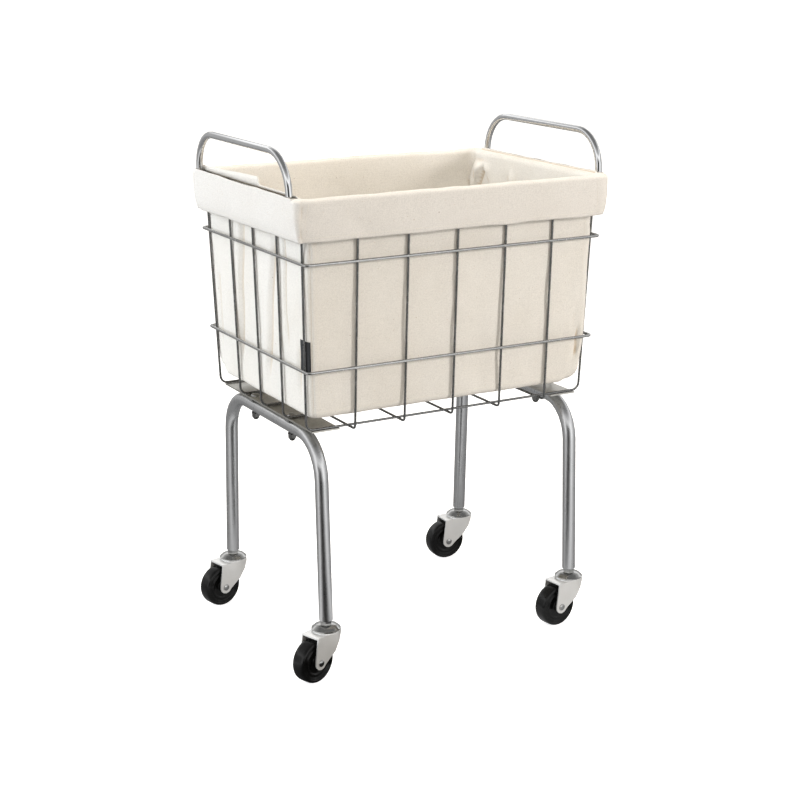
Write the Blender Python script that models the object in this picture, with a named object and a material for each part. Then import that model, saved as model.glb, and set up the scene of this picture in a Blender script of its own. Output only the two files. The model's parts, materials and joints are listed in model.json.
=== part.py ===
"""A linen trolley: a tapered wire basket with a lift-out canvas liner, bolted to two tube leg
frames that stand on four swivel casters.

Metres, +Z up, floor at Z = 0. X runs along the basket, Y across it with the front at -Y.
"""

import math

import bmesh
import bpy
from mathutils import Matrix, Vector

GAP = 0.0003  # between pieces that touch on the real object

# Place of the basket's centre line, which puts the origin under the middle of the whole trolley
CENTRE_X = 0.0060
CENTRE_Y = 0.0051

# Basket: half sizes of the box on which the upright wires lie, at the rim and at the floor
RIM_Z = 0.876
FLOOR_Z = 0.465
RIM_HALF_X = 0.3035
RIM_HALF_Y = 0.2230
FLOOR_HALF_X = 0.2912
FLOOR_HALF_Y = 0.2047
UPPER_RING_Z = 0.768
LOWER_RING_Z = 0.576

WIRE_R = 0.00225
RING_R = 0.00275
RIM_R = 0.0032
WIRE_SIDES = 8
LONG_WIRES = 5
LONG_WIRE_SPREAD = 0.9234  # place of the outermost lengthwise wires, as a part of the half depth
LONG_WIRE_BEND = 0.014
CROSS_WIRES = 5
CROSS_WIRE_STEP = 0.101
CROSS_WIRE_BEND = 0.008
RING_BEND = 0.008
RIM_BEND = 0.018
WIRE_TOP_Z = RIM_Z + 0.001

# Handle bars
HANDLE_R = 0.0064
HANDLE_HALF = 0.195
HANDLE_BEND = 0.070
HANDLE_TOP_Z = 0.955
HANDLE_FOOT_Z = 0.830
HANDLE_LEAN = 0.030  # outward, as a slope
HANDLE_SIDES = 12

# Canvas liner
CANVAS = 0.002
LINER_INSET = 0.0055  # from the upright wires in to the middle of the canvas
LINER_FLOOR_Z = 0.487
LINER_FLOOR_BEND = 0.010
LINER_CORNER = 0.012
CUFF_CORNER = 0.022
CUFF_FOOT_Z = 0.809
CUFF_CLEARANCE = 0.0022  # from the rim to the middle of the canvas
SLOT_HALF = 0.2035
SLOT_CLEARANCE = 0.0015  # from a handle bar to the middle of the canvas
SLOT_WALL_Z = 0.886  # top of the bag's wall along a slot
FOLD_Z = RIM_Z + RIM_R + 0.0018

# Woven tag on the liner's left end, beside the front corner
TAG_WIDTH = 0.028
TAG_HEIGHT = 0.058
TAG_THICK = 0.001
TAG_MIDDLE_Z = 0.600
TAG_PAST_CORNER = 0.009  # how far it reaches past where the bag's corner starts to turn

# Mounting plates and their bolts
PLATE_WIDTH = 0.055
PLATE_DEPTH = 0.384
PLATE_THICK = 0.003
PLATE_MIDDLE_X = 0.2535
BOLT_Y = 0.080
BOLT_R = 0.0040
BOLT_HOLE_R = 0.0043
BOLT_HEAD_R = 0.0095
BOLT_HEAD_HEIGHT = 0.0042
SPACER_HEIGHT = 0.003
SPACER_DROP = 0.0035  # how far its ends reach down beside the tube
SPACER_WIDTH = 0.022
SPACER_DEPTH = 0.016
WASHER_R = 0.0085
WASHER_THICK = 0.0015
NUT_FLATS = 0.0143
NUT_HEIGHT = 0.007
NUT_DOME_R = 0.0066

# Leg frames
TUBE_R = 0.0127
TUBE_WALL = 0.0015
TUBE_SIDES = 16
LEG_X = 0.2672
LEG_BEND = 0.076
LEG_SPLAY = 0.040  # outward lean, as a slope
LEG_FOOT_Y = 0.2090
LEG_FOOT_Z = 0.1090

# Casters
WHEEL_R = 0.0405
WHEEL_HALF = 0.0142
TRAIL = 0.0350
AXLE_R = 0.0038
AXLE_HOLE_R = 0.0042
FORK_HALF = 0.020  # from the wheel's middle to the middle of a cheek
FORK_SHEET = 0.0025
FORK_NOSE = 0.0415
FORK_TOP_Z = 0.0892
FORK_TOP_THICK = 0.003
FORK_END_R = 0.0128
FORK_BACK_R = 0.0272
FORK_CREASE = 0.020  # along the trail, where a cheek starts to lean out
FORK_WIDEST = 0.002
FORK_KNEE = -0.0135
FORK_KNEE_Z = 0.070
FORK_BACK = -0.020
FORK_FLARE = 0.0045
FORK_TUCK = 0.0027
RACE_R = 0.0245
RACE_TOP_Z = 0.0914
CAP_R = 0.0272
CAP_FOOT_Z = 0.0921
CAP_TOP_Z = 0.1018
HEX_FLATS = 0.0195
HEX_TOP_Z = 0.1081
STEM_R = 0.0050
STEM_HOLE_R = 0.0053
STEM_TOP_Z = 0.1460
SOCKET_LENGTH = 0.036
# Each caster: side in X, side in Y, and the compass direction in which its wheel trails
CASTERS = {
    "front_left": (-1, -1, 199),
    "back_left": (-1, 1, 193),
    "front_right": (1, -1, 188),
    "back_right": (1, 1, 177),
}

ENDS = {"left": -1, "right": 1}


# ---------------------------------------------------------------- scene and materials


def clear_scene():
    for obj in list(bpy.data.objects):
        bpy.data.objects.remove(obj, do_unlink=True)


def make_material(name, colour, roughness, metallic):
    material = bpy.data.materials.new(name)
    material.use_nodes = True
    shader = material.node_tree.nodes["Principled BSDF"]
    shader.inputs["Base Color"].default_value = (*colour, 1.0)
    shader.inputs["Roughness"].default_value = roughness
    shader.inputs["Metallic"].default_value = metallic
    return material


def add_object(name, bm, material, smooth=True):
    bmesh.ops.recalc_face_normals(bm, faces=bm.faces)
    mesh = bpy.data.meshes.new(name)
    bm.to_mesh(mesh)
    bm.free()
    if smooth:
        mesh.shade_smooth()
        mesh.set_sharp_from_angle(angle=math.radians(35))
    mesh.materials.append(material)
    obj = bpy.data.objects.new(name, mesh)
    bpy.context.scene.collection.objects.link(obj)
    return obj


def add_empty(name, location, parent=None, turn=0.0):
    empty = bpy.data.objects.new(name, None)
    empty.location = location
    empty.rotation_euler = (0, 0, turn)
    empty.parent = parent
    bpy.context.scene.collection.objects.link(empty)
    return empty


# ---------------------------------------------------------------- shapes


def rounded_path(corners, radius, steps, closed=False):
    """The polyline through corners, with each inner corner turned into an arc."""
    points = []
    count = len(corners)
    for i, corner in enumerate(corners):
        corner = Vector(corner)
        if not closed and i in (0, count - 1):
            points.append(corner)
            continue
        before = (Vector(corners[i - 1]) - corner).normalized()
        after = (Vector(corners[(i + 1) % count]) - corner).normalized()
        half = before.angle(after) / 2
        middle = corner + (before + after).normalized() * radius / math.sin(half)
        start = corner + before * radius / math.tan(half) - middle
        sweep = math.pi - 2 * half
        turn_axis = before.cross(after)
        for step in range(steps + 1):
            turned = Matrix.Rotation(-sweep * step / steps, 3, turn_axis) @ start
            points.append(middle + turned)
    return points


def circle_points(radius, sides, start=0.0):
    turns = [start + 2 * math.pi * k / sides for k in range(sides)]
    return [(radius * math.cos(a), radius * math.sin(a)) for a in turns]


def sweep_rings(bm, path, flat_normal, radius, sides, closed):
    """Rings of vertices round each point of a path that lies in one plane."""
    rings = []
    count = len(path)
    for i, point in enumerate(path):
        if closed:
            along = path[(i + 1) % count] - path[i - 1]
        else:
            along = path[min(i + 1, count - 1)] - path[max(i - 1, 0)]
        side = along.normalized().cross(flat_normal)
        ring = [
            bm.verts.new(point + side * a + flat_normal * b)
            for a, b in circle_points(radius, sides, math.pi / sides)
        ]
        rings.append(ring)
    return rings


def bridge(bm, ring_a, ring_b):
    count = len(ring_a)
    for k in range(count):
        bm.faces.new((ring_a[k], ring_a[(k + 1) % count], ring_b[(k + 1) % count], ring_b[k]))


def rod(path, flat_normal, radius, sides, closed=False):
    """A solid round rod bent along a path."""
    bm = bmesh.new()
    rings = sweep_rings(bm, path, flat_normal, radius, sides, closed)
    for ring_a, ring_b in zip(rings, rings[1:]):
        bridge(bm, ring_a, ring_b)
    if closed:
        bridge(bm, rings[-1], rings[0])
    else:
        bm.faces.new(rings[0])
        bm.faces.new(rings[-1])
    return bm


def tube(path, flat_normal, radius, wall, sides):
    """An open-ended round tube bent along a path."""
    bm = bmesh.new()
    outer = sweep_rings(bm, path, flat_normal, radius, sides, False)
    inner = sweep_rings(bm, path, flat_normal, radius - wall, sides, False)
    for rings in (outer, inner):
        for ring_a, ring_b in zip(rings, rings[1:]):
            bridge(bm, ring_a, ring_b)
    bridge(bm, outer[0], inner[0])
    bridge(bm, outer[-1], inner[-1])
    return bm


def turned(profile, sides, bore=False):
    """A shape turned about Z from (radius, height) points, closed at its ends or bored through."""
    bm = bmesh.new()
    rings = []
    for radius, height in profile:
        if radius == 0:
            rings.append([bm.verts.new((0, 0, height))])
        else:
            rings.append([bm.verts.new((x, y, height)) for x, y in circle_points(radius, sides)])
    pairs = list(zip(rings, rings[1:]))
    if bore:
        pairs.append((rings[-1], rings[0]))
    for ring_a, ring_b in pairs:
        if len(ring_a) == 1 or len(ring_b) == 1:
            tip = min(ring_a, ring_b, key=len)[0]
            ring = max(ring_a, ring_b, key=len)
            for k in range(sides):
                bm.faces.new((tip, ring[k], ring[(k + 1) % sides]))
        else:
            bridge(bm, ring_a, ring_b)
    return bm


def prism(outline, low, high):
    """An outline in X and Y, raised from low to high."""
    bm = bmesh.new()
    bottom = [bm.verts.new((x, y, low)) for x, y in outline]
    top = [bm.verts.new((x, y, high)) for x, y in outline]
    bm.faces.new(bottom)
    bm.faces.new(top)
    bridge(bm, bottom, top)
    return bm


def box(size, centre):
    bm = bmesh.new()
    bmesh.ops.create_cube(bm, size=1.0)
    bmesh.ops.scale(bm, verts=bm.verts, vec=size)
    bmesh.ops.translate(bm, verts=bm.verts, vec=centre)
    return bm


def helper(name, bm):
    """A shape that only cuts or joins another object."""
    obj = add_object(name, bm, MATERIALS["zinc"], smooth=False)
    obj.hide_render = True
    obj.display_type = "WIRE"
    return obj


def combine(obj, name, bm, operation="DIFFERENCE"):
    modifier = obj.modifiers.new(name, "BOOLEAN")
    modifier.operation = operation
    modifier.object = helper(f"{obj.name}_{name}", bm)
    modifier.object.parent = obj
    return obj


# ---------------------------------------------------------------- basket


def half_x(z):
    return FLOOR_HALF_X + (RIM_HALF_X - FLOOR_HALF_X) * (z - FLOOR_Z) / (RIM_Z - FLOOR_Z)


def half_y(z):
    return FLOOR_HALF_Y + (RIM_HALF_Y - FLOOR_HALF_Y) * (z - FLOOR_Z) / (RIM_Z - FLOOR_Z)


def rectangle(x, y, z):
    return [Vector((-x, -y, z)), Vector((x, -y, z)), Vector((x, y, z)), Vector((-x, y, z))]


def add_rings(basket):
    """The rim and the two rings, which lie outside the upright wires."""
    for name, z, radius, bend in (
        ("top_rim", RIM_Z, RIM_R, RIM_BEND),
        ("upper_ring", UPPER_RING_Z, RING_R, RING_BEND),
        ("lower_ring", LOWER_RING_Z, RING_R, RING_BEND),
    ):
        out = WIRE_R + GAP + radius
        corners = rectangle(half_x(z) + out, half_y(z) + out, z)
        path = rounded_path(corners, bend, 4, closed=True)
        ring = rod(path, Vector((0, 0, 1)), radius, WIRE_SIDES, closed=True)
        add_object(name, ring, MATERIALS["plated_wire"]).parent = basket


def add_long_wires(basket):
    """U-shaped wires up one end, along the floor and up the other end, fanned apart upwards."""
    for i in range(LONG_WIRES):
        share = LONG_WIRE_SPREAD * (2 * i / (LONG_WIRES - 1) - 1)
        top_y = share * half_y(WIRE_TOP_Z)
        floor_y = share * half_y(FLOOR_Z)
        corners = [
            (-half_x(WIRE_TOP_Z), top_y, WIRE_TOP_Z),
            (-half_x(FLOOR_Z), floor_y, FLOOR_Z),
            (half_x(FLOOR_Z), floor_y, FLOOR_Z),
            (half_x(WIRE_TOP_Z), top_y, WIRE_TOP_Z),
        ]
        normal = Vector((0, WIRE_TOP_Z - FLOOR_Z, floor_y - top_y)).normalized()
        path = rounded_path(corners, LONG_WIRE_BEND, 5)
        wire = rod(path, normal, WIRE_R, WIRE_SIDES)
        add_object(f"long_wire_{i + 1}", wire, MATERIALS["plated_wire"]).parent = basket


def add_cross_wires(basket):
    """U-shaped wires down the front, under the lengthwise wires and up the back."""
    under_z = FLOOR_Z - 2 * WIRE_R - GAP
    for i in range(CROSS_WIRES):
        x = CROSS_WIRE_STEP * (i - (CROSS_WIRES - 1) / 2)
        corners = [
            (x, -half_y(WIRE_TOP_Z), WIRE_TOP_Z),
            (x, -half_y(under_z), under_z),
            (x, half_y(under_z), under_z),
            (x, half_y(WIRE_TOP_Z), WIRE_TOP_Z),
        ]
        path = rounded_path(corners, CROSS_WIRE_BEND, 4)
        wire = rod(path, Vector((1, 0, 0)), WIRE_R, WIRE_SIDES)
        add_object(f"cross_wire_{i + 1}", wire, MATERIALS["plated_wire"]).parent = basket


def handle_x(z):
    """Middle of a handle bar, which is welded to the outside of the rim and leans out."""
    at_rim = half_x(RIM_Z) + WIRE_R + 2 * RIM_R + HANDLE_R + 2 * GAP
    return at_rim + HANDLE_LEAN * (z - RIM_Z)


def add_handles(basket):
    for end, side in ENDS.items():
        foot_x = side * handle_x(HANDLE_FOOT_Z)
        top_x = side * handle_x(HANDLE_TOP_Z)
        corners = [
            (foot_x, -HANDLE_HALF, HANDLE_FOOT_Z),
            (top_x, -HANDLE_HALF, HANDLE_TOP_Z),
            (top_x, HANDLE_HALF, HANDLE_TOP_Z),
            (foot_x, HANDLE_HALF, HANDLE_FOOT_Z),
        ]
        path = rounded_path(corners, HANDLE_BEND, 8)
        normal = Vector((1, 0, -side * HANDLE_LEAN)).normalized()
        bar = rod(path, normal, HANDLE_R, HANDLE_SIDES)
        add_object(f"handle_{end}", bar, MATERIALS["chrome"]).parent = basket


# ---------------------------------------------------------------- canvas liner


def outline(x, y, corner, slot_x, steps=4):
    """A rounded rectangle from the front left corner round to it again.

    Each short end has four points: two where its corners end, and two at the ends of the slot,
    which stand at slot_x. Where the bag is too narrow for the slot, they stand at its corners.
    """
    slot_y = min(SLOT_HALF, y - corner - 0.001)
    points = []
    for turn, (side_x, side_y) in enumerate(((1, -1), (1, 1), (-1, 1), (-1, -1))):
        start = math.radians(90 * turn - 90)
        for k in range(steps + 1):
            angle = start + math.radians(90) * k / steps
            points.append(
                (
                    side_x * (x - corner) + corner * math.cos(angle),
                    side_y * (y - corner) + corner * math.sin(angle),
                )
            )
        if turn in (0, 2):
            points.append((side_x * slot_x, side_y * slot_y))
            points.append((side_x * slot_x, -side_y * slot_y))
    return points


def raised(shape, z, slot_z):
    """An outline at height z, with the ends of the slots at slot_z."""
    return [(x, y, slot_z if slot_z and abs(y) == SLOT_HALF else z) for x, y in shape]


def mitred(profile, before):
    """For each (out, up) point of a profile, the step that moves both lines at it sideways by one.

    The sideways direction is to the right of the line's direction; before is a point that leads
    into the profile.
    """
    steps = []
    for i, point in enumerate(profile):
        behind = profile[i - 1] if i else before
        ahead = profile[i + 1] if i + 1 < len(profile) else None
        sides = []
        for start, end in ((behind, point), (point, ahead)):
            if end is not None:
                along = (Vector(end) - Vector(start)).normalized()
                sides.append(Vector((along.y, -along.x)))
        steps.append(sum(sides, Vector((0, 0))) / (1 + sides[0].dot(sides[-1])))
    steps[-1] = sides[-1]
    return steps


def liner_face(side):
    """The liner's rows on one face of the canvas: side 1 is the face towards the rim."""
    rim_out = WIRE_R + GAP + 2 * RIM_R
    cuff_out = rim_out + CUFF_CLEARANCE
    slot_x = handle_x(HANDLE_TOP_Z) + HANDLE_R + SLOT_CLEARANCE
    rows = []  # height, distance out from the upright wires' box, corner, height at the slots
    for step in range(5):
        angle = math.radians(90) * step / 4
        tuck = LINER_FLOOR_BEND * (1 - math.sin(angle))
        z = LINER_FLOOR_Z + LINER_FLOOR_BEND * (1 - math.cos(angle))
        rows.append((z, -LINER_INSET - tuck, LINER_CORNER - tuck, None))
    rows.append((RIM_Z - 0.002, -LINER_INSET, LINER_CORNER, None))
    rows.append((FOLD_Z, 0.002 - LINER_INSET, LINER_CORNER + 0.002, SLOT_WALL_Z))
    rows.append((FOLD_Z, cuff_out - 0.0026, CUFF_CORNER - 0.0026, FOLD_Z))
    rows.append((RIM_Z - 0.001, cuff_out, CUFF_CORNER, RIM_Z - 0.001))
    rows.append((CUFF_FOOT_Z, cuff_out, CUFF_CORNER, CUFF_FOOT_Z))
    on_cuff = len(rows) - 3
    profile = [(half_x(min(z, RIM_Z)) + out, z) for z, out, _, _ in rows]
    steps = mitred(profile, before=(0, LINER_FLOOR_Z))
    face = []
    for i, (z, out, corner, slot_z) in enumerate(rows):
        box_z = RIM_Z if i >= on_cuff else min(z, RIM_Z)
        shift = side * CANVAS / 2 * steps[i]
        x = half_x(box_z) + out + shift.x
        y = half_y(box_z) + out + shift.x
        past = side * CANVAS / 2 * (-1 if i >= on_cuff else 1)
        end_x = slot_x + past if i >= on_cuff else x
        if i == on_cuff - 1:
            end_x = half_x(box_z) + out + past
        shape = outline(x, y, corner + shift.x, end_x)
        face.append(raised(shape, z + shift.y, slot_z))
    return face


def add_liner(lift):
    """One sheet: the bag's floor and walls, the fold over the rim, and the cuff outside it.

    The fold is left open between the two feet of each handle bar, as a slot.
    """
    bm = bmesh.new()
    faces = [[[bm.verts.new(point) for point in row] for row in liner_face(s)] for s in (1, -1)]
    fold = next(i for i, row in enumerate(faces[0]) if row[0].co.z > RIM_Z)
    for rings in faces:
        bm.faces.new(rings[0])
        for ring_a, ring_b in zip(rings, rings[1:]):
            bridge(bm, ring_a, ring_b)
    bridge(bm, faces[0][-1], faces[1][-1])
    columns = [j for j, v in enumerate(faces[0][fold]) if abs(abs(v.co.y) - SLOT_HALF) < 1e-6]
    for first, second in (columns[:2], columns[2:]):
        loops = []
        for rings in faces:
            loop = [rings[i][j] for i, j in ((fold, first), (fold, second))]
            loop += [rings[i][j] for i, j in ((fold + 1, second), (fold + 1, first))]
            bmesh.ops.delete(bm, geom=[bm.faces.get(loop)], context="FACES_ONLY")
            loops.append(loop)
        bridge(bm, *loops)
    liner = add_object("canvas_liner", bm, MATERIALS["canvas"])
    liner.parent = lift


def add_tag(lift):
    """A plain woven tag, flat against the left end of the bag beside its front corner."""
    outer = half_x(TAG_MIDDLE_Z) - LINER_INSET + CANVAS / 2 + GAP
    wall_slope = (half_x(RIM_Z) - half_x(FLOOR_Z)) / (RIM_Z - FLOOR_Z)
    corner_y = half_y(TAG_MIDDLE_Z) - LINER_INSET - LINER_CORNER
    bm = box(
        (TAG_THICK, TAG_WIDTH, TAG_HEIGHT),
        (-TAG_THICK / 2, -corner_y - TAG_PAST_CORNER + TAG_WIDTH / 2, 0),
    )
    tag = add_object("woven_tag", bm, MATERIALS["tag"], smooth=False)
    tag.location = (-outer, 0, TAG_MIDDLE_Z)
    tag.rotation_euler = (0, -math.atan(wall_slope), 0)
    tag.parent = lift


# ---------------------------------------------------------------- plates, bolts and leg frames


def plate_top_z():
    return FLOOR_Z - WIRE_R - GAP


def spacer_top_z():
    return plate_top_z() - PLATE_THICK - GAP


def tube_middle_z():
    return spacer_top_z() - SPACER_HEIGHT - GAP - TUBE_R


def add_plates(basket):
    for end, side in ENDS.items():
        bm = box(
            (PLATE_WIDTH, PLATE_DEPTH, PLATE_THICK),
            (side * PLATE_MIDDLE_X, 0, plate_top_z() - PLATE_THICK / 2),
        )
        plate = add_object(f"mounting_plate_{end}", bm, MATERIALS["plated_sheet"], smooth=False)
        plate.parent = basket
        for number, y in enumerate((-BOLT_Y, BOLT_Y), 1):
            combine(plate, f"hole_{number}", bolt_hole(side * LEG_X, y))


def bolt_hole(x, y):
    """A cutter along a bolt, long enough for the plate, the spacer and the tube."""
    bm = turned([(0, 0), (BOLT_HOLE_R, 0), (BOLT_HOLE_R, 0.06), (0, 0.06)], 12)
    bmesh.ops.translate(bm, verts=bm.verts, vec=(x, y, plate_top_z() - 0.05))
    return bm


def add_leg_frames(basket):
    top_z = tube_middle_z()
    corner_y = LEG_FOOT_Y - LEG_SPLAY * (top_z - LEG_FOOT_Z)
    for end, side in ENDS.items():
        x = side * LEG_X
        corners = [
            (x, -LEG_FOOT_Y, LEG_FOOT_Z),
            (x, -corner_y, top_z),
            (x, corner_y, top_z),
            (x, LEG_FOOT_Y, LEG_FOOT_Z),
        ]
        path = rounded_path(corners, LEG_BEND, 7)
        bm = tube(path, Vector((1, 0, 0)), TUBE_R, TUBE_WALL, TUBE_SIDES)
        frame = add_object(f"leg_frame_{end}", bm, MATERIALS["leg_tube"])
        frame.parent = basket
        for number, y in enumerate((-BOLT_Y, BOLT_Y), 1):
            combine(frame, f"hole_{number}", bolt_hole(x, y))


def carriage_bolt():
    """Domed head on top of the plate, shank down into the domed nut; Z = 0 under the head."""
    shank_end = tube_middle_z() - TUBE_R - 0.0125 - plate_top_z()
    profile = [(0, shank_end), (BOLT_R, shank_end), (BOLT_R, GAP), (BOLT_HEAD_R, GAP)]
    for step in range(1, 5):
        angle = math.radians(90) * step / 4
        profile.append((BOLT_HEAD_R * math.cos(angle), GAP + BOLT_HEAD_HEIGHT * math.sin(angle)))
    profile[-1] = (0, profile[-1][1])
    return turned(profile, 12)


def domed_nut():
    """A hexagon with a domed foot and a blind hole from its top, Z = 0."""
    corner_r = NUT_FLATS / math.sqrt(3)
    bm = prism(circle_points(corner_r, 6), -NUT_HEIGHT, 0)
    return bm


def dome():
    profile = [(0, -NUT_HEIGHT + 0.001), (NUT_DOME_R, -NUT_HEIGHT + 0.001)]
    for step in range(5):
        angle = math.radians(90) * step / 4
        profile.append((NUT_DOME_R * math.cos(angle), -NUT_HEIGHT - NUT_DOME_R * math.sin(angle)))
    profile[-1] = (0, profile[-1][1])
    return turned(profile, 12)


def nut_bore():
    profile = [(0, -0.0115), (BOLT_HOLE_R, -0.0115), (BOLT_HOLE_R, 0.002), (0, 0.002)]
    return turned(profile, 12)


def saddle_spacer():
    """A block with a hollow underside that sits on the tube; Z = 0 at its top."""
    height = SPACER_HEIGHT + SPACER_DROP
    return box((SPACER_WIDTH, SPACER_DEPTH, height), (0, 0, -height / 2))


def tube_hollow():
    """A cutter along Y that stands a gap clear of the tube, seen from a spacer's top."""
    radius = TUBE_R + GAP
    bm = turned([(0, -0.02), (radius, -0.02), (radius, 0.02), (0, 0.02)], 24)
    bmesh.ops.rotate(bm, verts=bm.verts, matrix=Matrix.Rotation(math.pi / 2, 3, "X"))
    bmesh.ops.translate(bm, verts=bm.verts, vec=(0, 0, tube_middle_z() - spacer_top_z()))
    return bm


def stack_hole(radius):
    return turned([(0, -0.02), (radius, -0.02), (radius, 0.02), (0, 0.02)], 12)


def add_bolts(basket):
    washer_top_z = tube_middle_z() - TUBE_R - GAP
    nut_top_z = washer_top_z - WASHER_THICK - GAP
    number = 0
    for side in ENDS.values():
        for y in (-BOLT_Y, BOLT_Y):
            number += 1
            x = side * LEG_X
            bolt = add_object(f"leg_bolt_{number}", carriage_bolt(), MATERIALS["zinc"])
            bolt.location = (x, y, plate_top_z())

            spacer = add_object(f"saddle_spacer_{number}", saddle_spacer(), MATERIALS["zinc"])
            spacer.location = (x, y, spacer_top_z())
            combine(spacer, "tube_seat", tube_hollow())
            combine(spacer, "hole", stack_hole(BOLT_HOLE_R))

            washer_profile = [
                (BOLT_HOLE_R, 0),
                (WASHER_R, 0),
                (WASHER_R, -WASHER_THICK),
                (BOLT_HOLE_R, -WASHER_THICK),
            ]
            washer = add_object(
                f"washer_{number}", turned(washer_profile, 14, bore=True), MATERIALS["zinc"]
            )
            washer.location = (x, y, washer_top_z)

            nut = add_object(f"acorn_nut_{number}", domed_nut(), MATERIALS["zinc"])
            nut.location = (x, y, nut_top_z)
            combine(nut, "dome", dome(), "UNION")
            combine(nut, "bore", nut_bore())
            for piece in (bolt, spacer, washer, nut):
                piece.parent = basket


# ---------------------------------------------------------------- casters


def socket(side_y):
    """A plug inside the leg's end, leaning with it, with an upright hole for the stem."""
    core_r = TUBE_R - TUBE_WALL - GAP
    profile = [(0, GAP), (core_r, GAP), (core_r, SOCKET_LENGTH), (0, SOCKET_LENGTH)]
    bm = turned(profile, TUBE_SIDES)
    lean = Matrix.Rotation(side_y * math.atan(LEG_SPLAY), 3, "X")
    bmesh.ops.rotate(bm, verts=bm.verts, matrix=lean)
    return bm


def stem_hole():
    return turned([(0, -0.01), (STEM_HOLE_R, -0.01), (STEM_HOLE_R, 0.06), (0, 0.06)], 12)


def swivel_head():
    """Stem, domed cap and king pin in one, about the swivel's axis from the floor up."""
    pin_head_top = FORK_TOP_Z - FORK_TOP_THICK - 0.0006
    profile = [
        (0, pin_head_top - 0.0032),
        (0.0060, pin_head_top - 0.0028),
        (0.0085, pin_head_top - 0.0010),
        (0.0085, pin_head_top),
        (STEM_R, pin_head_top),
        (STEM_R, CAP_FOOT_Z + 0.0012),
        (CAP_R - 0.0020, CAP_FOOT_Z),
        (CAP_R, CAP_FOOT_Z + 0.0006),
        (CAP_R, CAP_FOOT_Z + 0.0020),
        (CAP_R - 0.0014, CAP_FOOT_Z + 0.0028),
        (0.0225, CAP_TOP_Z - 0.0036),
        (0.0175, CAP_TOP_Z - 0.0012),
        (0.0125, CAP_TOP_Z),
        (STEM_R, CAP_TOP_Z + 0.0005),
        (STEM_R, STEM_TOP_Z - 0.001),
        (STEM_R - 0.001, STEM_TOP_Z),
        (0, STEM_TOP_Z),
    ]
    return turned(profile, 20)


def stem_hexagon():
    outline_points = circle_points(HEX_FLATS / math.sqrt(3), 6)
    return prism(outline_points, CAP_TOP_Z - 0.0015, HEX_TOP_Z)


def cheek_middle(d):
    """Sideways place of a cheek: level beside the wheel, out to the race, and in behind it."""
    if d >= FORK_CREASE:
        return FORK_HALF
    if d >= FORK_WIDEST:
        return FORK_HALF + FORK_FLARE * (FORK_CREASE - d) / (FORK_CREASE - FORK_WIDEST)
    back = (FORK_WIDEST - d) / (FORK_WIDEST - FORK_BACK)
    return FORK_HALF + FORK_FLARE - (FORK_FLARE + FORK_TUCK) * back


def cheek_stations():
    """(place along the trail, foot, top) from the slanted front edge to the back edge."""
    top = FORK_TOP_Z - 0.001
    slant = (FORK_TOP_Z - WHEEL_R) / (TRAIL + FORK_END_R - FORK_NOSE)
    stations = []
    for degrees in (12, 35, 60, 90, 120, 135):
        d = TRAIL + FORK_END_R * math.cos(math.radians(degrees))
        foot = WHEEL_R - FORK_END_R * math.sin(math.radians(degrees))
        stations.append((d, foot, min(top, FORK_TOP_Z - (d - FORK_NOSE) * slant)))
    tangent_d, tangent_foot, _ = stations[-1]
    for d in (FORK_CREASE, FORK_WIDEST):
        stations.append((d, tangent_foot + tangent_d - d, top))
    stations.append((FORK_KNEE, FORK_KNEE_Z, top))
    stations.append((FORK_BACK, top - 0.004, top))
    return stations


def fork_cheek(side):
    """A pressed cheek: its edge rises from round the axle to the back of the swivel."""
    bm = bmesh.new()
    columns = []
    for d, foot, top in cheek_stations():
        inner = side * (cheek_middle(d) - FORK_SHEET / 2)
        outer = side * (cheek_middle(d) + FORK_SHEET / 2)
        corners = [(d, inner, foot), (d, outer, foot), (d, outer, top), (d, inner, top)]
        columns.append([bm.verts.new(corner) for corner in corners])
    for column_a, column_b in zip(columns, columns[1:]):
        bridge(bm, column_a, column_b)
    bm.faces.new(columns[0])
    bm.faces.new(columns[-1])
    return bm


def fork_top():
    """The plate over the wheel: square at its nose, widening to a round back."""
    places = (FORK_NOSE, FORK_CREASE, FORK_WIDEST, FORK_KNEE, FORK_BACK)
    right = [(d, cheek_middle(d) + FORK_SHEET / 2) for d in places]
    right.append((-FORK_BACK_R * math.cos(math.radians(25)), FORK_BACK_R * math.sin(math.radians(25))))
    left = [(d, -n) for d, n in reversed(right)]
    return prism(right + [(-FORK_BACK_R, 0)] + left, FORK_TOP_Z - FORK_TOP_THICK, FORK_TOP_Z)


def race_ring():
    low = FORK_TOP_Z - 0.001
    profile = [
        (0.0175, low),
        (RACE_R, low),
        (RACE_R, RACE_TOP_Z - 0.0008),
        (RACE_R - 0.0008, RACE_TOP_Z),
        (0.0175, RACE_TOP_Z),
    ]
    return turned(profile, 24, bore=True)


def axle_hole():
    bm = turned([(0, -0.04), (AXLE_HOLE_R, -0.04), (AXLE_HOLE_R, 0.04), (0, 0.04)], 16)
    bmesh.ops.rotate(bm, verts=bm.verts, matrix=Matrix.Rotation(math.pi / 2, 3, "X"))
    bmesh.ops.translate(bm, verts=bm.verts, vec=(TRAIL, 0, WHEEL_R))
    return bm


def pin_hole():
    low = FORK_TOP_Z - 0.01
    high = FORK_TOP_Z + 0.01
    return turned([(0, low), (STEM_HOLE_R, low), (STEM_HOLE_R, high), (0, high)], 16)


def axle():
    """A shaft with a domed head at each end, along Z about its middle."""
    shoulder = FORK_HALF + FORK_SHEET / 2 + GAP
    head = [(AXLE_R, shoulder), (0.0068, shoulder), (0.0064, shoulder + 0.0014)]
    head += [(0.0040, shoulder + 0.0026), (0, shoulder + 0.0030)]
    profile = [(r, -z) for r, z in reversed(head)] + head
    return turned(profile, 12)


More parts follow.
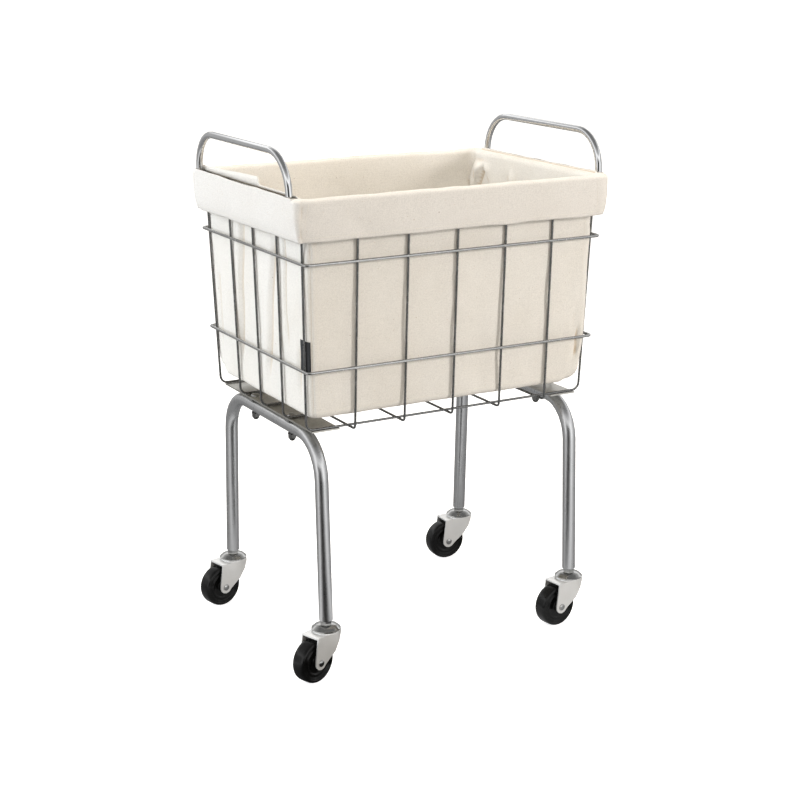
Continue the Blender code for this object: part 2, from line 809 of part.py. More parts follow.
def wheel():
    """One moulding, along Z about its middle: bore, hub boss, recessed web and tyre."""
    boss = FORK_HALF - FORK_SHEET / 2 - 0.0006
    half_profile = [
        (AXLE_HOLE_R, boss),
        (0.0100, boss),
        (0.0115, 0.0110),
        (0.0222, 0.0100),
        (0.0240, 0.0122),
        (0.0262, 0.0122),
        (0.0275, 0.0108),
        (0.0320, 0.0118),
        (0.0350, WHEEL_HALF),
        (0.0378, WHEEL_HALF - 0.0008),
        (0.0396, 0.0112),
        (WHEEL_R, 0.0075),
    ]
    other_half = [(r, -z) for r, z in reversed(half_profile)]
    return turned(half_profile + other_half, 28, bore=True)


def add_casters(basket):
    for place, (side_x, side_y, trail_deg) in CASTERS.items():
        x = side_x * LEG_X
        y = side_y * LEG_FOOT_Y

        plug = add_object(f"socket_{place}", socket(side_y), MATERIALS["black_plastic"])
        plug.location = (x, y, LEG_FOOT_Z)
        plug.parent = basket
        combine(plug, "stem_hole", stem_hole())

        head = add_object(f"swivel_head_{place}", swivel_head(), MATERIALS["zinc"])
        head.location = (x, y, 0)
        head.parent = basket
        combine(head, "hexagon", stem_hexagon(), "UNION")

        swivel = add_empty(f"swivel_axis_{place}", (x, y, 0), basket, math.radians(trail_deg))
        fork = add_object(f"fork_{place}", fork_top(), MATERIALS["bright_zinc"])
        fork.parent = swivel
        combine(fork, "cheek_1", fork_cheek(1), "UNION")
        combine(fork, "cheek_2", fork_cheek(-1), "UNION")
        combine(fork, "race", race_ring(), "UNION")
        combine(fork, "pin_hole", pin_hole())
        combine(fork, "axle_hole", axle_hole())

        for name, bm, material in (
            ("axle", axle(), MATERIALS["zinc"]),
            ("wheel", wheel(), MATERIALS["black_wheel"]),
        ):
            piece = add_object(f"{name}_{place}", bm, material)
            piece.location = (TRAIL, 0, WHEEL_R)
            piece.rotation_euler = (math.pi / 2, 0, 0)
            piece.parent = swivel


# ---------------------------------------------------------------- the trolley

clear_scene()
MATERIALS = {
    "plated_wire": make_material("plated_wire", (0.55, 0.55, 0.53), 0.28, 1.0),
    "chrome": make_material("chrome", (0.75, 0.75, 0.75), 0.10, 1.0),
    "plated_sheet": make_material("plated_sheet", (0.62, 0.61, 0.57), 0.35, 1.0),
    "leg_tube": make_material("leg_tube", (0.50, 0.51, 0.52), 0.32, 1.0),
    "zinc": make_material("zinc", (0.60, 0.60, 0.58), 0.25, 1.0),
    "bright_zinc": make_material("bright_zinc", (0.72, 0.72, 0.71), 0.30, 1.0),
    "black_plastic": make_material("black_plastic", (0.03, 0.03, 0.03), 0.55, 0.0),
    "black_wheel": make_material("black_wheel", (0.012, 0.012, 0.012), 0.25, 0.0),
    "canvas": make_material("canvas", (0.82, 0.77, 0.67), 0.9, 0.0),
    "tag": make_material("tag", (0.02, 0.02, 0.022), 0.8, 0.0),
}
trolley = add_empty("basket_middle", (CENTRE_X, CENTRE_Y, 0))
add_rings(trolley)
add_long_wires(trolley)
add_cross_wires(trolley)
add_handles(trolley)
liner_lift = add_empty("liner_lift_axis", (0, 0, 0), trolley)
add_liner(liner_lift)
add_tag(liner_lift)
add_plates(trolley)
add_leg_frames(trolley)
add_bolts(trolley)
add_casters(trolley)
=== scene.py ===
"""Linen trolley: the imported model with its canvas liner, stitching and finishes."""

import json
import math

import bmesh
import bpy
import numpy as np
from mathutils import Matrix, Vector

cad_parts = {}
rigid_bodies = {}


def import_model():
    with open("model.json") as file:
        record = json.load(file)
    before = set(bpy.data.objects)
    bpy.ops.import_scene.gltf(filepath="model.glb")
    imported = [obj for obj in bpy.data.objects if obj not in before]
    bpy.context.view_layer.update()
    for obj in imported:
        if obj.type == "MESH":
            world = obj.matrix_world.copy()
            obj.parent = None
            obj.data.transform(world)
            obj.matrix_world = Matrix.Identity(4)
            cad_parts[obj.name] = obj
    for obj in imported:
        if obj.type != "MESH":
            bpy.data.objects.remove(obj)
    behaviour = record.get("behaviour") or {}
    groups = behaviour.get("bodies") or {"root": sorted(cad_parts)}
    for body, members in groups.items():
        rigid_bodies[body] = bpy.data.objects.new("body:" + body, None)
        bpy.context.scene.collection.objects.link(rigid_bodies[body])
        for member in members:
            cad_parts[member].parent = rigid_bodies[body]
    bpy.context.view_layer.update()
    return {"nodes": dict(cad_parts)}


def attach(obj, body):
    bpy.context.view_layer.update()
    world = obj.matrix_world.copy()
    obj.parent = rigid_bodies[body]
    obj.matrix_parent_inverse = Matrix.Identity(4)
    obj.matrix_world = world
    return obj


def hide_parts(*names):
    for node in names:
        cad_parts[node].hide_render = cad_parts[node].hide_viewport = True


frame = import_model()

# ---------------------------------------------------------------- sizes, in metres

CENTRE = Vector((0.0060, 0.0051, 0))  # the basket's centre line in the row frame

# Half sizes of the box on which the basket's upright wires lie
RIM_Z = 0.876
FLOOR_Z = 0.465
RIM_HALF = np.array((0.3035, 0.2230))
FLOOR_HALF = np.array((0.2912, 0.2047))
WIRE_PITCH = 0.101  # between the upright wires of the long sides

CANVAS = 0.0012
WALL_INSET = 0.0056  # from the upright wires in to the middle of the canvas
BAG_FLOOR_Z = 0.4870
FLOOR_BEND = 0.010
FLOOR_BEND_AT_CORNER = 0.023
BAG_CORNER = 0.0135
BAG_CORNER_AT_FLOOR = 0.021
CORNER_REACH = 0.10  # how far along the sides one corner's own shape is felt
CORNER_SHARE = 0.10  # of half a side, over which the shape that all corners have is felt
WALL_TOP_Z = 0.8715
CREST_Z = 0.8822
CUFF_TOP_Z = 0.8745
CUFF_FOOT_Z = 0.8085
CUFF_HALF = np.array((0.3268, 0.2342))
CUFF_HALF_AT_FOOT = np.array((0.3204, 0.2330))
CUFF_CORNER = np.array((0.0330, 0.0290))
# What the front left, front right and back left corners add to those radii
BEND_MORE = (-0.011, 0.003, 0.006)
BAG_CORNER_MORE = (-0.0030, 0, -0.0065)
BAG_CORNER_MORE_AT_FLOOR = (-0.009, -0.002, -0.002)
CUFF_CORNER_MORE = (-0.013, 0, 0)
SLOT_EDGE_Z = 0.8845  # top of the cuff along the left slot; it is lower along the right one
RIGHT_SLOT_DROP = 0.0025
# How a slot's inner edge leans out over the rim wire: (from the wall, height)
SLOT_LEAN = ((0.0008, 0.8772), (0.0038, 0.8800), (0.0085, 0.8812), (0.0120, 0.8820))
EDGE_LEAN = (0.0128, 0.0125)  # of the two rows above those

# The canvas grid: columns on a long side, on a short side and round a corner, then its rows
LONG_COLUMNS, SHORT_COLUMNS, CORNER_COLUMNS = 150, 106, 12
FLOOR_SHARES = (0.03, 0.16, 0.30, 0.44, 0.58, 0.70, 0.81, 0.90, 0.96)
BEND_STEPS = 7
WALL_STEPS = 90
RIM_STEPS = 6
CUFF_STEPS = 22

# Slack, in how far the wall hangs in from the wires
SAG_BELOW_Z, SAG_OVER = 0.80, 0.28
SAG, SAG_MORE_AT_BACK = 0.0012, 0.0030
WIRE_SLACK = 0.0010
SOFT_DENTS = 0.0010
PRESS_OUT, PRESS_OUT_BELOW_Z = 0.0017, 0.862
FULLER, FULLER_BELOW_Z, FULLER_Z, FULLER_SPREAD = 0.0010, 0.83, 0.60, 0.09  # at two corners
MOST_OUT = 0.0023
GROOVE_DEPTH, GROOVE_TURN, GROOVE_SPREAD = 0.0016, 58, 11  # the front left seam, in degrees
GATHER_DEPTH, GATHER_Z, GATHER_SPREAD = 0.0016, 0.797, 0.020
PLEAT_TOP_Z, PLEAT_LENGTH = 0.866, 0.12
PLEAT_DEPTH, PLEAT_FROM_CORNER, PLEAT_SPREAD = 0.0170, 0.036, 0.024
POCKET_SLOPE, POCKET_FROM_CORNER, POCKET_EDGE = 0.55, 0.048, 0.0055
CORNER_CREASE_DEPTH, CORNER_CREASE_SPREAD = 0.0090, 0.0040

# Folds: side (-1 left or front), place at FOLD_Z, slope, depth, spread, top and foot of each
FOLD_Z = 0.80
END_FOLD_FADES, SIDE_FOLD_FADES = (0.03, 0.08), (0.04, 0.02)  # at the top and at the foot
RIDGE_BESIDE_FOLD, RIDGE_AT = 0.35, 2.1  # share of the fold's depth, distance in spreads
FOLDS_OF_ENDS = (
    (-1, 0.057, 0.125, 0.0075, 0.0095, 0.865, 0.50),
    (-1, -0.083, 0.180, 0.0065, 0.0080, 0.80, 0.49),
    (-1, -0.1225, 0.00, 0.0055, 0.0036, 0.865, 0.58),
    (-1, -0.172, 0.04, 0.0035, 0.0060, 0.62, 0.48),
    (-1, 0.172, 0.02, 0.0035, 0.0080, 0.70, 0.50),
    (1, 0.070, 0.05, 0.0070, 0.0090, 0.86, 0.50),
    (1, -0.045, -0.06, 0.0055, 0.0070, 0.82, 0.50),
    (1, -0.125, 0.03, 0.0070, 0.0080, 0.86, 0.55),
)
FOLDS_OF_SIDES = (
    (-1, 0.2725, 0.005, 0.0065, 0.0042, 0.592, 0.505),
    (-1, 0.2625, 0.010, 0.0016, 0.0060, 0.64, 0.49),
    (-1, 0.062, 0.00, 0.0012, 0.014, 0.66, 0.47),
    (-1, -0.226, 0.00, 0.0014, 0.012, 0.70, 0.47),
    (1, -0.16, 0.05, 0.0055, 0.012, 0.80, 0.48),
    (1, 0.05, -0.04, 0.0045, 0.011, 0.74, 0.48),
    (1, 0.19, 0.03, 0.0055, 0.010, 0.82, 0.50),
)

# The left slot's inner edge stands up from the back, then steps down at a notch
FLAP_LOW_Z, FLAP_RISE, FLAP_BACK_Y, FLAP_LENGTH = 0.8912, 0.0078, 0.199, 0.258
NOTCH_Y, NOTCH_LENGTH, PAST_NOTCH_Z = -0.046, 0.010, 0.8855
NOTCH_POINT, NOTCH_POINT_Y, NOTCH_POINT_SPREAD = 0.0020, -0.050, 0.004
RIGHT_EDGE_Z, RIGHT_EDGE_WAVE = 0.8862, 0.0020

# The cuff ripples and draws in towards its foot, most at its corners; its front leans back at the
# left corner, next to a shallow slanting dent
DRAWN_IN, DRAWN_IN_AT_CORNERS, CUFF_RIPPLE, CUFF_CREASE = 0.0005, 0.0015, 0.0006, 0.0008
LEAN_BACK = 0.0024
LEAN_BACK_WITHIN, LEAN_BACK_FULL = 0.034, 0.012  # of the cuff's left end
DENT_X, DENT_Z, DENT_SLANT, DENT_SPREAD, DENT_DEPTH = -0.215, 0.845, 0.9, 0.020, 0.0018

SEAM_FROM_CORNER = 0.006
BOTTOM_SEAM_Z = 0.5000
HEM_SEAM_Z = 0.8162
CORNER_SEAM_Z = (0.510, 0.800)
STITCH_PITCH, STITCH_LENGTH, STITCH_RADIUS, STITCH_LIFT = 0.0042, 0.0031, 0.00042, 0.00012
# A stitch's outline: (share of its length, share of its radius, rise in radii)
STITCH_OUTLINE = (
    (-0.5, 0.2, -0.9), (-0.38, 0.8, -0.3), (0, 1, 0), (0.38, 0.8, -0.3), (0.5, 0.2, -0.9),
)
STITCH_SIDES = 6

TAG_LOW_Z, TAG_HIGH_Z = 0.571, 0.629
TAG_BEFORE_CORNER, TAG_PAST_CORNER = 0.0310, 0.0005
TAG_THICK = 0.0008
TAG_GAP = 0.0003
TAG_LOOSE = 0.0012  # how far its free lower edge stands off

# Half of a wheel's section from its bore outwards: (radius, distance from the wheel's middle)
WHEEL_SECTION = (
    (0.0042, 0.0181), (0.0098, 0.0181), (0.0115, 0.0110), (0.0130, 0.0104), (0.0222, 0.0100),
    (0.0234, 0.0122), (0.0250, 0.0125), (0.0264, 0.0122), (0.0273, 0.0106), (0.0300, 0.0106),
    (0.0309, 0.0120), (0.0322, 0.0122), (0.0330, 0.0114), (0.0345, 0.0141), (0.0368, 0.0141),
    (0.0391, 0.0128), (0.0403, 0.0090), (0.0405, 0.0040),
)
WHEEL_SIDES = 80

# Nodes with a finish of their own, nodes with wires in them, and nodes that stay as they are
RING_NODES = ("top_rim", "upper_ring", "lower_ring")
NUT_NODES = ("acorn_nut", "washer")
WIRE_NODES = ("wire", "ring", "top_rim")
FLAT_NODES = ("canvas_liner", "woven_tag", "mounting_plate", "saddle_spacer", "socket")
MERGE_WITHIN = 1e-6
# Edges that bend more than this many degrees stay sharp
SHARP_ANGLE, SHARP_ANGLE_OF_WIRES, SHARP_ANGLE_OF_WHEELS = 40, 70, 50

# ---------------------------------------------------------------- looks

# Seed flecks in the cotton: cells in a metre, largest radius in cells, share of cells, colour
FLECKS = (
    (70.0, 0.075, 0.12, (0.20, 0.13, 0.08)),
    (150.0, 0.11, 0.14, (0.40, 0.29, 0.19)),
    (330.0, 0.20, 0.20, (0.62, 0.52, 0.41)),
)
# Painted shade: the brown that creases in the canvas are tinted towards
PAINTED_CREASE_SHADE = (0.74, 0.57, 0.38)
STAGE_GLOW = 0.72
STAGE_BOUNCE = 0.42
# What metal mirrors of the studio's walls: (compass direction in degrees, brightness)
STUDIO_PANELS = (
    (-180, 1.10), (-171, 1.60), (-160, 0.80), (-147, 0.12), (-134, 0.04), (-114, 0.05),
    (-98, 0.55), (-78, 1.60), (-58, 1.10), (-34, 0.60), (20, 0.44), (70, 0.56),
    (105, 0.46), (140, 0.52), (160, 0.50), (180, 1.10),
)
# Lights: name, place, target, size, power in watts, colour
LIGHTS = (
    ("left_softbox", (-3.2, 0.9, 1.6), (0, 0, 0.6), (4.4, 2.8), 130, (0.87, 0.93, 1.0)),
    ("key_softbox", (2.35, -2.55, 1.50), (0, 0, 0.65), (0.34, 0.95), 66, (1.0, 0.96, 0.92)),
    ("top_softbox", (0.2, 0.2, 3.2), (0, 0, 0.6), (1.6, 1.4), 33, (1.0, 0.94, 0.84)),
    ("front_fill", (-1.2, -4.2, 2.6), (0, 0, 0.6), (1.2, 1.2), 34, (1.0, 0.94, 0.86)),
)
CAMERA_PLACE = Vector((-1.5406, -2.7647, 1.3191)) + CENTRE
CAMERA_TARGET = Vector((0.0039, 0, 0.4359)) + CENTRE
CAMERA_LENS = 75.97


def half_at(z):
    share = (np.minimum(z, RIM_Z) - FLOOR_Z) / (RIM_Z - FLOOR_Z)
    return FLOOR_HALF + (RIM_HALF - FLOOR_HALF) * np.asarray(share)[..., None]


def smooth(x):
    x = np.clip(x, 0, 1)
    return x * x * (3 - 2 * x)


def hump(x, middle, spread):
    """1 at the middle, falling to nearly 0 two spreads away."""
    return np.exp(-(((x - middle) / spread) ** 2))


def ripple(a, b, seed, waves=14):
    """Smooth noise from -1 to 1 over two coordinates, with features about one unit wide."""
    rng = np.random.default_rng(seed)
    total = np.zeros(np.broadcast(a, b).shape)
    for _ in range(waves):
        angle, phase = rng.uniform(0, 2 * math.pi, 2)
        pitch = rng.uniform(2.2, 5.5)
        total += np.sin(pitch * (a * math.cos(angle) + b * math.sin(angle)) + phase)
    return total / math.sqrt(waves / 2) / 2


# ---------------------------------------------------------------- finishes


def node(tree, kind, inputs=(), **settings):
    """A node with its settings; inputs are (socket name or number, value or socket to link)."""
    made = tree.nodes.new(kind)
    for name, value in settings.items():
        setattr(made, name, value)
    for name, value in inputs:
        if isinstance(value, bpy.types.NodeSocket):
            tree.links.new(value, made.inputs[name])
        else:
            made.inputs[name].default_value = value
    return made


def new_finish(name, **shader_inputs):
    """A material, its node tree, its shader and the place on the object in metres."""
    material = bpy.data.materials.new(name)
    material.use_nodes = True
    tree = material.node_tree
    shader = tree.nodes["Principled BSDF"]
    for key, value in shader_inputs.items():
        shader.inputs[key.replace("_", " ")].default_value = value
    place = node(tree, "ShaderNodeTexCoord").outputs["Object"]
    return material, tree, shader, place


def stretched(tree, place, scale):
    return node(tree, "ShaderNodeMapping", [("Vector", place), ("Scale", scale)]).outputs[0]


def noise(tree, place, scale, detail=3.0, roughness=0.55, stretch=None):
    if stretch:
        place = stretched(tree, place, stretch)
    inputs = [("Vector", place), ("Scale", scale), ("Detail", detail), ("Roughness", roughness)]
    return node(tree, "ShaderNodeTexNoise", inputs).outputs[0]


def ramp(tree, factor, *stops):
    """Stops are (position, number or colour)."""
    made = node(tree, "ShaderNodeValToRGB", [("Fac", factor)])
    elements = made.color_ramp.elements
    while len(elements) < len(stops):
        elements.new(0.5)
    for element, (position, value) in zip(elements, stops):
        element.position = position
        colour = (value,) * 3 if isinstance(value, (int, float)) else value
        element.color = (*colour, 1)
    return made.outputs[0]


def mixed(tree, factor, first, second, blend_type="MIX"):
    made = node(tree, "ShaderNodeMix", data_type="RGBA", blend_type=blend_type)
    for socket, value in ((0, factor), (6, first), (7, second)):
        if isinstance(value, bpy.types.NodeSocket):
            tree.links.new(value, made.inputs[socket])
        elif socket:
            made.inputs[socket].default_value = (*value, 1)
        else:
            made.inputs[socket].default_value = value
    return made.outputs[2]


def calculated(tree, operation, *values):
    return node(tree, "ShaderNodeMath", list(enumerate(values)), operation=operation).outputs[0]


def crossed(tree, place, across, along, detail, share=0.5):
    """Threads that run both ways: noise cells this fine across a thread and along it."""
    first = noise(tree, place, 1.0, detail, stretch=(across, across, along))
    second = noise(tree, place, 1.0, detail, stretch=(along, along, across))
    return mixed(tree, share, first, second)


def bumped(tree, shader, height, distance, strength=1.0):
    inputs = [("Height", height), ("Distance", distance), ("Strength", strength)]
    tree.links.new(node(tree, "ShaderNodeBump", inputs).outputs[0], shader.inputs["Normal"])


def canvas_finish(name, dark, light):
    """Undyed cotton canvas: plain weave, fine mottling, seed flecks and a soft nap, with painted
    shade in its creases.
    """
    material, tree, shader, place = new_finish(
        name, Roughness=0.92, Sheen_Weight=0.10, Sheen_Roughness=0.5, Specular_IOR_Level=0.22
    )
    weave = crossed(tree, place, 1500, 160, 2.0)
    slubs = crossed(tree, place, 420, 40, 3.0)
    cloudy = noise(tree, place, 7.0, 5.0)
    colour = ramp(tree, cloudy, (0.3, dark), (0.7, light))
    threads = ramp(tree, slubs, (0.34, 0.965), (0.60, 1.0))
    colour = mixed(tree, 1.0, colour, threads, "MULTIPLY")
    mottle = noise(tree, place, 620.0, 2.0)
    colour = mixed(tree, 1.0, colour, ramp(tree, mottle, (0.36, 0.89), (0.58, 1.0)), "MULTIPLY")
    colour = mixed(tree, 0.25, colour, ramp(tree, weave, (0.35, 0.72), (0.60, 1.06)), "MULTIPLY")
    for scale, radius, share, tint in FLECKS:
        cells = node(
            tree,
            "ShaderNodeTexVoronoi",
            [("Vector", stretched(tree, place, (1.0, 1.0, 0.8))), ("Scale", scale)],
        )
        chance = node(tree, "ShaderNodeSeparateColor", [(0, cells.outputs["Color"])]).outputs[0]
        size = calculated(tree, "MULTIPLY", chance, radius / share)
        limit = calculated(tree, "SUBTRACT", radius, size)
        inside = calculated(tree, "SUBTRACT", limit, cells.outputs["Distance"])
        spot = ramp(tree, calculated(tree, "MULTIPLY", inside, 30.0), (0.0, 0.0), (0.5, 1.0))
        colour = mixed(tree, spot, colour, tint)
    # Painted shade: creases, found from the mesh's pointiness, are tinted browner, standing in for
    # the shade where only light passing through the cotton reaches them
    bend = node(tree, "ShaderNodeNewGeometry").outputs["Pointiness"]
    painted_shade_mask = ramp(tree, bend, (0.43, 0.95), (0.492, 0.0))
    painted_browner_shade = mixed(tree, 1.0, colour, PAINTED_CREASE_SHADE, "MULTIPLY")
    colour = mixed(tree, painted_shade_mask, colour, painted_browner_shade)
    tree.links.new(colour, shader.inputs["Base Color"])
    height = mixed(tree, 0.4, weave, slubs)
    bumped(tree, shader, height, 0.0005, 0.6)
    return material


def thread_finish():
    material, tree, shader, place = new_finish("cotton_thread", Roughness=0.75, Sheen_Weight=0.1)
    twist = noise(tree, place, 2600.0, 2.0)
    tree.links.new(
        ramp(tree, twist, (0.3, (0.74, 0.69, 0.60)), (0.7, (0.90, 0.87, 0.80))),
        shader.inputs["Base Color"],
    )
    bumped(tree, shader, twist, 0.0002)
    return material


def tag_finish():
    """Dark woven satin label."""
    material, tree, shader, place = new_finish("woven_label", Roughness=0.6, Sheen_Weight=0.05)
    both = crossed(tree, place, 160, 2600, 1.0, 0.4)
    tree.links.new(
        ramp(tree, both, (0.35, (0.010, 0.011, 0.013)), (0.65, (0.036, 0.038, 0.041))),
        shader.inputs["Base Color"],
    )
    bumped(tree, shader, both, 0.0003)
    return material


def metal_finish(
    name, dark, light, roughness, bump=0.00003, marks=0.3, metallic=1.0, grain=(400, 400, 12)
):
    """Plated or polished steel: a faint drawn grain, hazy patches and a few fine marks."""
    material, tree, shader, place = new_finish(name, Metallic=metallic)
    lines = noise(tree, place, 1.0, 4.0, stretch=grain)
    haze = noise(tree, place, 28.0, 5.0)
    marks_at = noise(tree, place, 1.0, 6.0, stretch=(90, 900, 300))
    tone = mixed(tree, 0.45, lines, haze)
    tree.links.new(ramp(tree, tone, (0.35, dark), (0.65, light)), shader.inputs["Base Color"])
    low, high = roughness
    rough = ramp(tree, mixed(tree, 0.5, haze, lines), (0.35, low), (0.65, high))
    scuffs = ramp(tree, marks_at, (0.66, 0.0), (0.74, marks))
    tree.links.new(mixed(tree, 1.0, rough, scuffs, "ADD"), shader.inputs["Roughness"])
    bumped(tree, shader, mixed(tree, 0.3, lines, marks_at), bump)
    return material


def black_finish(name, tones, roughness, speckle, bump):
    """Moulded black plastic or hard rubber with dust and light scuffing."""
    material, tree, shader, place = new_finish(name, Specular_IOR_Level=0.34)
    haze = noise(tree, place, 60.0, 5.0)
    grain = noise(tree, place, speckle, 3.0)
    tone = mixed(tree, 0.5, haze, grain)
    tree.links.new(
        ramp(tree, tone, (0.40, (tones[0],) * 3), (0.62, (tones[1],) * 3)),
        shader.inputs["Base Color"],
    )
    low, high = roughness
    tree.links.new(ramp(tree, tone, (0.35, low), (0.7, high)), shader.inputs["Roughness"])
    bumped(tree, shader, grain, bump)
    return material


def sheet_finish():
    """Zinc plated sheet with a soft spangle, rolled grain and a warm passivated tint."""
    material, tree, shader, place = new_finish("plated_sheet", Metallic=1.0)
    rolled = noise(tree, place, 1.0, 4.0, stretch=(8, 300, 300))
    cells = node(tree, "ShaderNodeTexVoronoi", [("Vector", place), ("Scale", 240.0)])
    spangle = node(tree, "ShaderNodeSeparateColor", [(0, cells.outputs["Color"])]).outputs[0]
    tone = mixed(tree, 0.25, rolled, spangle)
    colour = ramp(tree, tone, (0.25, (0.56, 0.545, 0.50)), (0.7, (0.76, 0.745, 0.70)))
    tree.links.new(colour, shader.inputs["Base Color"])
    tree.links.new(ramp(tree, tone, (0.3, 0.30), (0.7, 0.44)), shader.inputs["Roughness"])
    bumped(tree, shader, rolled, 0.00004)
    return material


FINISHES = {
    # Painted reflection: the wires get dark tones, standing in for the dark studio that the
    # upright wires mirror; the rings, of the same plating, get lighter tones below
    "plated_wire": metal_finish(
        "plated_wire",
        (0.19, 0.19, 0.19),
        (0.29, 0.29, 0.285),
        (0.22, 0.30),
        bump=0.00001,
        marks=0.08,
    ),
    "chrome": metal_finish(
        "polished_chrome", (0.68, 0.685, 0.695), (0.78, 0.785, 0.79), (0.05, 0.11), marks=0.05
    ),
    "plated_sheet": sheet_finish(),
    "leg_tube": metal_finish(
        "satin_tube", (0.62, 0.625, 0.63), (0.74, 0.745, 0.75), (0.25, 0.33), marks=0.10
    ),
    "zinc": metal_finish("zinc", (0.42, 0.42, 0.41), (0.58, 0.58, 0.57), (0.07, 0.14), marks=0.1),
    "bright_zinc": metal_finish(
        "bright_zinc",
        (0.88, 0.88, 0.875),
        (0.94, 0.94, 0.935),
        (0.18, 0.26),
        bump=0.000002,
        marks=0.0,
        metallic=0.55,
        grain=(40, 40, 25),
    ),
    "black_plastic": black_finish("black_plastic", (0.006, 0.022), (0.42, 0.6), 900.0, 0.0001),
    "black_wheel": black_finish("black_wheel", (0.002, 0.007), (0.12, 0.22), 500.0, 0.00001),
}
# Painted reflection: the same plating as the wires, given lighter tones that stand in for the
# bright sky the rings mirror
RING_PAINTED_LIGHT_FINISH = metal_finish(
    "plated_ring", (0.46, 0.46, 0.455), (0.56, 0.56, 0.55), (0.22, 0.28), bump=0.00001, marks=0.05
)
# Painted reflection: the nuts and washers get a much darker copy of the zinc, standing in for the
# dark surroundings they mirror
NUT_PAINTED_SHADE_FINISH = metal_finish("nickel_nut", (0.08, 0.08, 0.078), (0.17, 0.17, 0.165), (0.06, 0.12))
for cad_name, cad in frame["nodes"].items():
    for material_slot in cad.material_slots:
        finish = FINISHES.get(material_slot.name.split(".")[0])
        if cad_name in RING_NODES:
            finish = RING_PAINTED_LIGHT_FINISH
        if cad_name.startswith(NUT_NODES):
            finish = NUT_PAINTED_SHADE_FINISH
        if finish:
            material_slot.material = finish

# ---------------------------------------------------------------- round surfaces


def smooth_copy(cad, sharp_angle):
    """The CAD node's own shape as one connected mesh, whose facets shade as a round surface."""
    shape = bmesh.new()
    shape.from_mesh(cad.data)
    bmesh.ops.remove_doubles(shape, verts=shape.verts, dist=MERGE_WITHIN)
    shape.verts.index_update()
    corners = [[vertex.index for vertex in face.verts] for face in shape.faces]
    mesh = bpy.data.meshes.new(cad.name)
    mesh.from_pydata([cad.matrix_world @ vertex.co for vertex in shape.verts], [], corners)
    shape.free()
    mesh.update()
    mesh.shade_smooth()
    mesh.set_sharp_from_angle(angle=math.radians(sharp_angle))
    return mesh


def link(name, mesh, *materials):
    obj = bpy.data.objects.new(name, mesh)
    bpy.context.scene.collection.objects.link(obj)
    for material in materials:
        mesh.materials.append(material)
    return obj


def rounded_section(section, passes=2):
    """The closed section with its corners cut back by a quarter of each side, in passes."""
    points = np.array(section)
    for _ in range(passes):
        after = np.roll(points, -1, axis=0)
        points = np.stack([0.75 * points + 0.25 * after, 0.25 * points + 0.75 * after], axis=1)
        points = points.reshape(-1, 2)
    return points


def wheel_mesh(cad):
    """A wheel turned where the CAD wheel is, with rounded edges and two moulded rings a side."""
    places = np.array([cad.matrix_world @ vertex.co for vertex in cad.data.vertices])
    middle = (places.min(axis=0) + places.max(axis=0)) / 2
    axle = np.append(np.linalg.eigh(np.cov((places - middle)[:, :2].T))[1][:, 0], 0)
    level, up = np.cross(axle, (0, 0, 1)), np.array((0, 0, 1))
    other_side = [(radius, -out) for radius, out in reversed(WHEEL_SECTION)]
    section = rounded_section([*WHEEL_SECTION, *other_side])
    turns = np.linspace(0, 2 * math.pi, WHEEL_SIDES, endpoint=False)[:, None, None]
    spokes = level * np.cos(turns) + up * np.sin(turns)
    points = middle + spokes * section[None, :, :1] + axle * section[None, :, 1:]
    count = len(section)
    faces = [
        (a * count + k, a * count + (k + 1) % count, b * count + (k + 1) % count, b * count + k)
        for a, b in ((turn, (turn + 1) % WHEEL_SIDES) for turn in range(WHEEL_SIDES))
        for k in range(count)
    ]
    mesh = bpy.data.meshes.new(cad.name)
    mesh.from_pydata(points.reshape(-1, 3).tolist(), [], faces)
    shape = bmesh.new()
    shape.from_mesh(mesh)
    bmesh.ops.recalc_face_normals(shape, faces=shape.faces)
    shape.to_mesh(mesh)
    shape.free()
    mesh.shade_smooth()
    mesh.set_sharp_from_angle(angle=math.radians(SHARP_ANGLE_OF_WHEELS))
    return mesh


for cad_name, cad in frame["nodes"].items():
    if cad_name.startswith(FLAT_NODES):
        continue
    is_wire = any(part in cad_name for part in WIRE_NODES)
    is_wheel = cad_name.startswith("wheel")
    sharp_angle = SHARP_ANGLE_OF_WIRES if is_wire else SHARP_ANGLE
    mesh = wheel_mesh(cad) if is_wheel else smooth_copy(cad, sharp_angle)
    piece = link(f"round.{cad_name}", mesh, cad.material_slots[0].material)
    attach(piece, cad.parent.name.removeprefix("body:"))
    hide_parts(cad_name)

# ---------------------------------------------------------------- canvas liner


def around():
    """Columns round the liner: centre factors and outward directions."""
    centres, normals = [], []
    sides = (((-1, -1), (1, -1), (0, -1)), ((1, -1), (1, 1), (1, 0)))
    sides += (((1, 1), (-1, 1), (0, 1)), ((-1, 1), (-1, -1), (-1, 0)))
    for (start, end, normal), count in zip(sides, (LONG_COLUMNS, SHORT_COLUMNS) * 2):
        for k in range(count + 1):
            share = k / count
            centres.append([a + (b - a) * share for a, b in zip(start, end)])
            normals.append(normal)
        first = math.atan2(normal[1], normal[0])
        for k in range(1, CORNER_COLUMNS):
            angle = first + math.radians(90) * k / CORNER_COLUMNS
            centres.append(end)
            normals.append((math.cos(angle), math.sin(angle)))
    return np.array(centres, float), np.array(normals, float)


CENTRES, NORMALS = around()
COLUMNS = len(CENTRES)
ON_FRONT, ON_BACK = NORMALS[:, 1] < -0.999, NORMALS[:, 1] > 0.999
ON_LEFT, ON_RIGHT = NORMALS[:, 0] < -0.999, NORMALS[:, 0] > 0.999
IN_SLOT = (ON_LEFT | ON_RIGHT) & (np.abs(CENTRES[:, 1]) < 0.9999)  # the ends, less their corners
CORNERNESS = smooth(1 - np.maximum(0, 1 - np.abs(CENTRES).min(axis=1)) / CORNER_SHARE)


